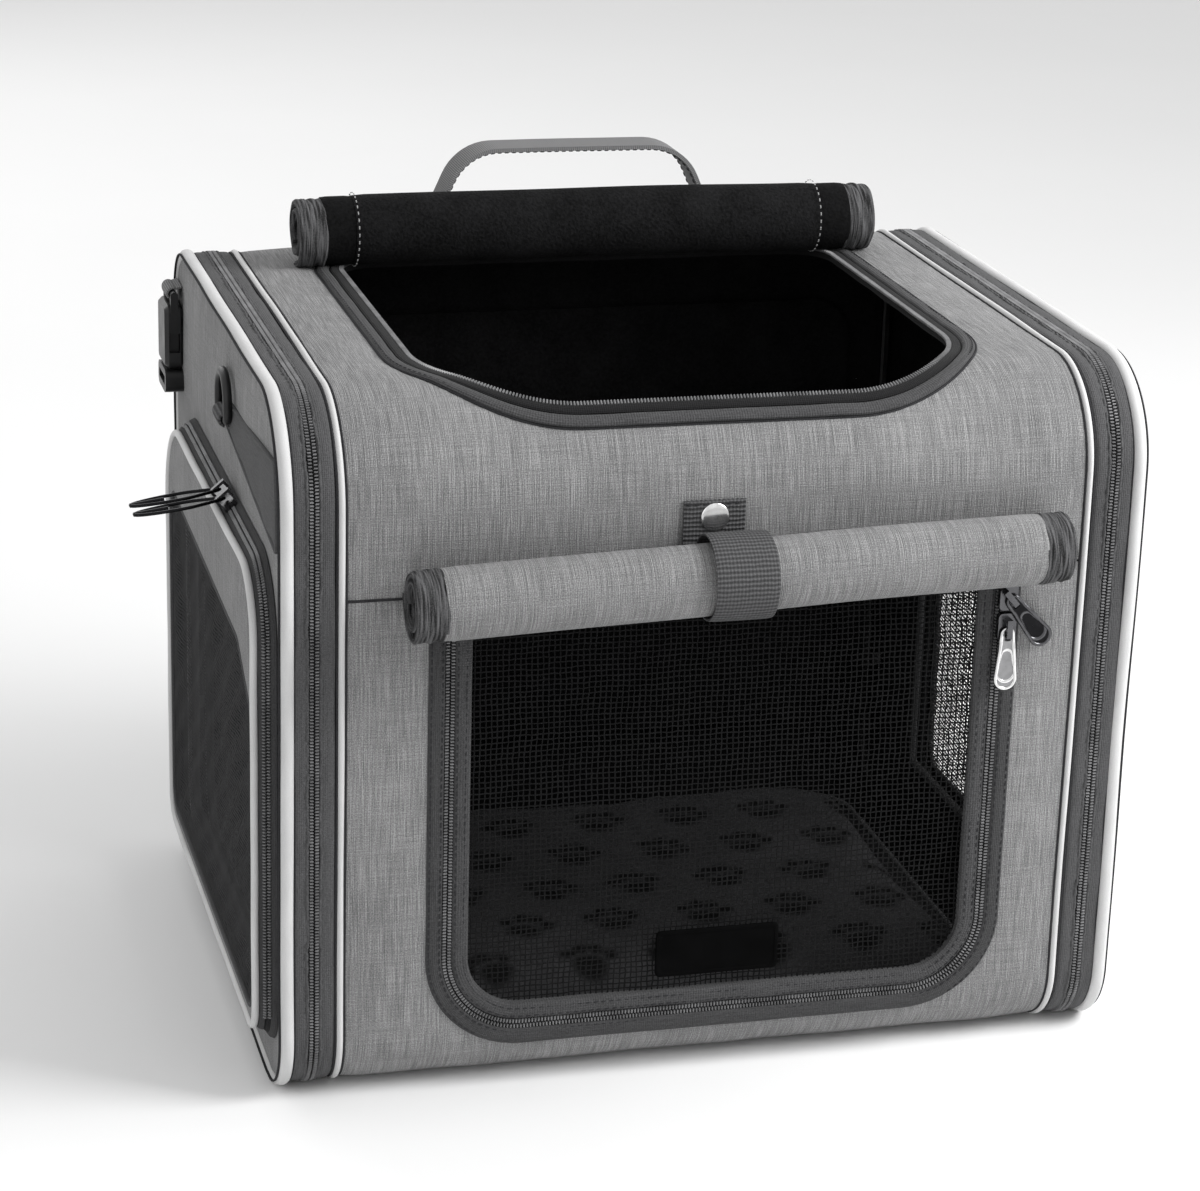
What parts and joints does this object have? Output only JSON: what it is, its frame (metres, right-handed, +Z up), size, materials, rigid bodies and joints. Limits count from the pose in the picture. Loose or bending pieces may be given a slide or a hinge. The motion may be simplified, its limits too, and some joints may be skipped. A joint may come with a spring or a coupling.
{
  "type": "dog bicycle basket",
  "caption": "Soft-sided dog basket for a bicycle with a netted front window, rolled flaps, zipped side doors, open top, carry handle, D-rings, buckles and handlebar straps.",
  "frame": {"origin": "middle of the flat underside that rests on the ground", "axes": "+X across, towards the right side door (seen from the front); -Y towards the netted front; +Y towards the bicycle; +Z up"},
  "size_m": [0.4201, 0.3914, 0.3473],
  "materials": {
    "linen_fabric": "light heather-grey woven polyester, matt",
    "dark_fabric": "dark grey woven polyester, matt",
    "black_lining": "black lining cloth, matt",
    "black_net": "black knitted net",
    "white_piping": "white reflective piping, satin",
    "grey_binding": "grey woven binding tape",
    "dark_webbing": "dark grey ribbed webbing",
    "light_webbing": "light grey webbing",
    "zip_nylon": "black nylon coil",
    "black_plastic": "moulded black acetal, fine texture",
    "board": "stiff black plastic board",
    "pad_plush": "short grey plush with dark printed paw marks",
    "rubber_patch": "soft moulded dark patch, bare",
    "snap_chrome": "polished",
    "pull_silver": "polished nickel",
    "pull_gunmetal": "dark gunmetal, semi-gloss",
    "hoop_steel": "spring steel wire, black coated"
  },
  "bodies": {
    "basket": {"back_board": "board", "back_panel": "linen_fabric", "bar_strap_loops": "dark_webbing", "base_board": "board", "base_panel": "dark_fabric", "blank_patch": "rubber_patch", "buckle_tabs": "light_webbing", "end_hoops": "hoop_steel", "floor_pad": "pad_plush", "front_binding": "grey_binding", "front_flap_roll": "linen_fabric", "front_net": "black_net", "front_panel": "linen_fabric", "front_slider_upper": "pull_gunmetal", "handle_patches": "dark_webbing", "head_strap_loop": "dark_webbing", "left_gusset": "dark_fabric", "left_side_panel": "linen_fabric", "piping": "white_piping", "right_gusset": "dark_fabric", "right_side_panel": "linen_fabric", "ring_tabs": "dark_webbing", "roll_bindings": "grey_binding", "roll_strap": "dark_webbing", "snap_stud": "snap_chrome", "top_binding": "grey_binding", "top_flap_roll": "black_lining", "top_panel": "linen_fabric", "zip_coils": "zip_nylon"},
    "left_door": {"left_door_gusset": "dark_fabric", "left_door_piping": "white_piping", "left_door_panel": "linen_fabric", "left_door_net": "black_net"},
    "left_front_slider": {"left_door_slider_front": "pull_gunmetal"},
    "left_front_pull": {"left_door_pull_front": "pull_gunmetal"},
    "left_back_slider": {"left_door_slider_back": "pull_gunmetal"},
    "left_back_pull": {"left_door_pull_back": "pull_gunmetal"},
    "right_door": {"right_door_gusset": "dark_fabric", "right_door_piping": "white_piping", "right_door_panel": "linen_fabric", "right_door_net": "black_net"},
    "right_front_slider": {"right_door_slider_front": "pull_gunmetal"},
    "right_front_pull": {"right_door_pull_front": "pull_gunmetal"},
    "right_back_slider": {"right_door_slider_back": "pull_gunmetal"},
    "right_back_pull": {"right_door_pull_back": "pull_gunmetal"},
    "lower_slider": {"front_slider_lower": "pull_gunmetal"},
    "lower_pull": {"front_pull_lower": "pull_silver"},
    "upper_pull": {"front_pull_upper": "pull_gunmetal"},
    "tongue": {"strap_tongue": "dark_webbing", "snap_cap": "snap_chrome"},
    "left_ring": {"left_d_ring": "black_plastic"},
    "left_socket": {"left_buckle_socket": "black_plastic"},
    "left_latch": {"left_buckle_latch": "black_plastic"},
    "left_bar_flap": {"left_bar_strap_flap": "dark_webbing"},
    "right_ring": {"right_d_ring": "black_plastic"},
    "right_socket": {"right_buckle_socket": "black_plastic"},
    "right_latch": {"right_buckle_latch": "black_plastic"},
    "right_bar_flap": {"right_bar_strap_flap": "dark_webbing"},
    "handle": {"carry_handle": "light_webbing"},
    "head_flap": {"head_strap_flap": "dark_webbing"}
  },
  "joints": [
    {"name": "left_door_hinge", "type": "hinge", "parent": "basket", "child": "left_door", "pos_m": [-0.1825, -0.008, 0.02], "axis": [0, 1, 0], "range_deg": [-90, 0]},
    {"name": "right_door_hinge", "type": "hinge", "parent": "basket", "child": "right_door", "pos_m": [0.1825, -0.004, 0.02], "axis": [0, 1, 0], "range_deg": [0, 90]},
    {"name": "left_front_slide", "type": "slide", "parent": "left_door", "child": "left_front_slider", "axis": [0, 1, 0], "range_m": [-0.045, 0]},
    {"name": "left_back_slide", "type": "slide", "parent": "left_door", "child": "left_back_slider", "axis": [0, 1, 0], "range_m": [0, 0.095]},
    {"name": "right_front_slide", "type": "slide", "parent": "right_door", "child": "right_front_slider", "axis": [0, 1, 0], "range_m": [-0.025, 0]},
    {"name": "right_back_slide", "type": "slide", "parent": "right_door", "child": "right_back_slider", "axis": [0, 1, 0], "range_m": [0, 0.085]},
    {"name": "left_front_pull_hinge", "type": "hinge", "parent": "left_front_slider", "child": "left_front_pull", "pos_m": [-0.18852, -0.0414, 0.2325], "axis": [0, 1, 0], "range_deg": [-28, 90]},
    {"name": "left_back_pull_hinge", "type": "hinge", "parent": "left_back_slider", "child": "left_back_pull", "pos_m": [-0.18852, -0.0286, 0.2325], "axis": [0, 1, 0], "range_deg": [-28, 90]},
    {"name": "right_front_pull_hinge", "type": "hinge", "parent": "right_front_slider", "child": "right_front_pull", "pos_m": [0.18741, -0.0414, 0.23457], "axis": [0.9191, 0, -0.3939], "range_deg": [-120, 0]},
    {"name": "right_back_pull_hinge", "type": "hinge", "parent": "right_back_slider", "child": "right_back_pull", "pos_m": [0.18741, -0.0286, 0.23457], "axis": [-0.9191, 0, 0.3939], "range_deg": [-120, 0]},
    {"name": "lower_slider_slide", "type": "slide", "parent": "basket", "child": "lower_slider", "axis": [0, 0, 1], "range_m": [-0.13, 0]},
    {"name": "lower_pull_hinge", "type": "hinge", "parent": "lower_slider", "child": "lower_pull", "pos_m": [0.124, -0.1526, 0.1935], "axis": [1, 0, 0], "range_deg": [-100, 0]},
    {"name": "upper_pull_hinge", "type": "hinge", "parent": "basket", "child": "upper_pull", "pos_m": [0.124, -0.1526, 0.207], "axis": [0.766, 0, 0.6428], "range_deg": [-80, 0]},
    {"name": "tongue_lift", "type": "hinge", "parent": "basket", "child": "tongue", "pos_m": [0, -0.1484, 0.23679], "axis": [1, 0, 0], "range_deg": [0, 20]},
    {"name": "left_ring_turn", "type": "hinge", "parent": "basket", "child": "left_ring", "pos_m": [-0.186, -0.024, 0.264], "axis": [0, 1, 0], "range_deg": [-120, 0]},
    {"name": "right_ring_turn", "type": "hinge", "parent": "basket", "child": "right_ring", "pos_m": [0.186, -0.024, 0.264], "axis": [0, 1, 0], "range_deg": [0, 120]},
    {"name": "left_socket_turn", "type": "hinge", "parent": "basket", "child": "left_socket", "pos_m": [-0.187, 0.129, 0.281], "axis": [0, 1, 0], "range_deg": [0, 100]},
    {"name": "right_socket_turn", "type": "hinge", "parent": "basket", "child": "right_socket", "pos_m": [0.187, 0.129, 0.281], "axis": [0, 1, 0], "range_deg": [-100, 0]},
    {"name": "left_latch_release", "type": "slide", "parent": "left_socket", "child": "left_latch", "axis": [0, 0, 1], "range_m": [-0.022, 0]},
    {"name": "right_latch_release", "type": "slide", "parent": "right_socket", "child": "right_latch", "axis": [0, 0, 1], "range_m": [-0.022, 0]},
    {"name": "handle_fold", "type": "hinge", "parent": "basket", "child": "handle", "pos_m": [0, 0.12, 0.3115], "axis": [1, 0, 0], "range_deg": [-85, 0]},
    {"name": "left_bar_flap_peel", "type": "hinge", "parent": "basket", "child": "left_bar_flap", "pos_m": [-0.12, 0.152, 0.2481], "axis": [1, 0, 0], "range_deg": [-40, 0]},
    {"name": "right_bar_flap_peel", "type": "hinge", "parent": "basket", "child": "right_bar_flap", "pos_m": [0.12, 0.152, 0.2481], "axis": [1, 0, 0], "range_deg": [-40, 0]},
    {"name": "head_flap_peel", "type": "hinge", "parent": "basket", "child": "head_flap", "pos_m": [0.0116, 0.1528, 0.072], "axis": [0, 0, 1], "range_deg": [-40, 0]}
  ]
}
